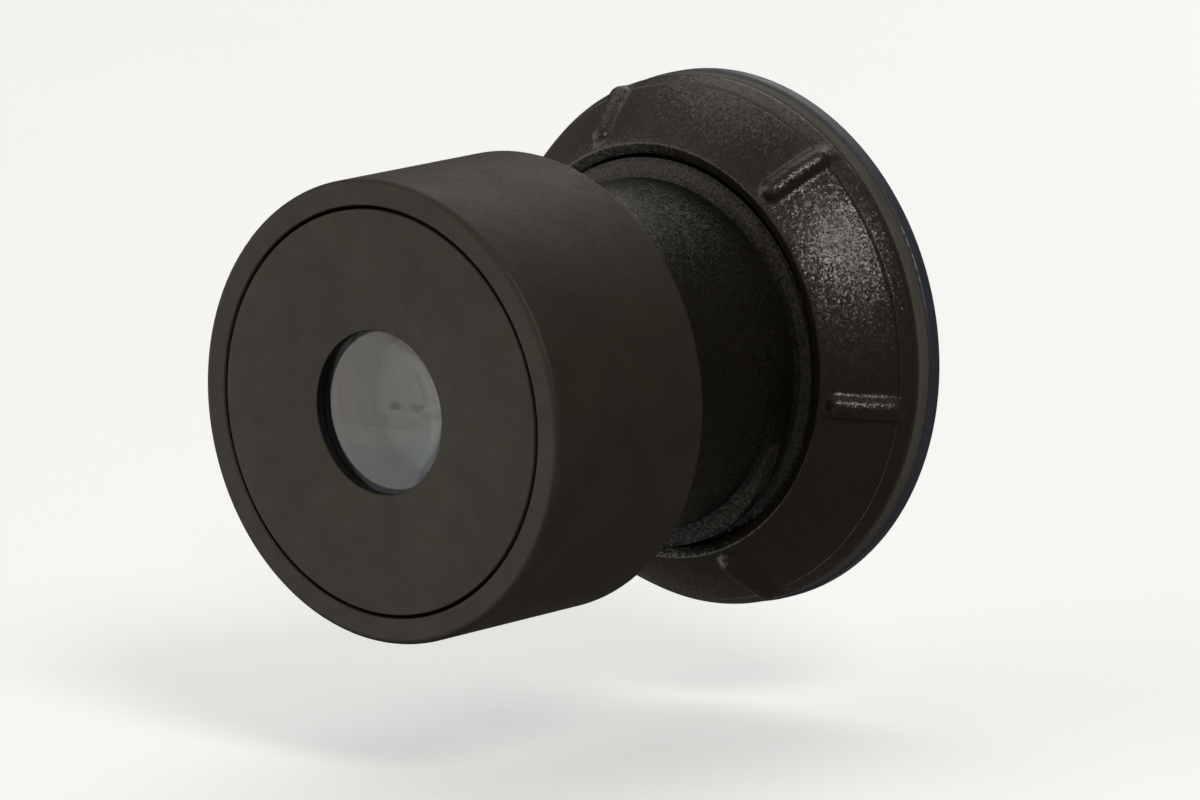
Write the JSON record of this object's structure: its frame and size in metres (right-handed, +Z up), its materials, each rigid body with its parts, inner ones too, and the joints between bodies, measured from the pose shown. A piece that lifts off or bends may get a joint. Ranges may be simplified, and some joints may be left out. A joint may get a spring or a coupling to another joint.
{
  "type": "phone camera viewfinder",
  "caption": "Round stick-on magnifying eyepiece for a phone screen: a soft contact foot, a domed flange with finger ribs, a threaded focusing tube and an eyecup round a recessed lens.",
  "frame": {"origin": "centre of the foot's contact face, in the plane of the phone's screen", "axes": "-Y along the sight line from the screen to the eye, +Y into the screen, +Z up, +X to the right of somebody who looks in"},
  "size_m": [0.0418, 0.041, 0.0418],
  "materials": {
    "pad_polymer": "glossy",
    "cushion_rubber": "matt",
    "ring_plastic": "matt",
    "grip_plastic": "fine spark texture, satin",
    "tube_plastic": "fine spark texture, satin",
    "cell_plastic": "matt",
    "lens_glass": "polished",
    "eyecup_plastic": "soft matt"
  },
  "bodies": {
    "base": {"suction_pad": "pad_polymer", "cushion_ring": "cushion_rubber", "base_ring": "ring_plastic", "grip_flange": "grip_plastic"},
    "damper": {"friction_ring": "ring_plastic"},
    "eyepiece": {"focus_tube": "tube_plastic", "lens_cell": "cell_plastic", "eye_lens": "lens_glass", "lens_spacer": "cell_plastic", "field_lens": "lens_glass", "lens_retainer": "cell_plastic", "front_plate": "eyecup_plastic", "eyecup_sleeve": "eyecup_plastic"}
  },
  "joints": [
    {"name": "focus_slide", "type": "slide", "parent": "base", "child": "damper", "axis": [0, -1, 0], "range_m": [-0.0009, 0.0018]},
    {"name": "focus_turn", "type": "hinge", "parent": "damper", "child": "eyepiece", "pos_m": [0, 0, 0], "axis": [0, -1, 0], "range_deg": [-120, 240]}
  ],
  "couplings": [
    {"joint": "focus_slide", "follows": "focus_turn", "m_per_rad": 0.00042972}
  ]
}
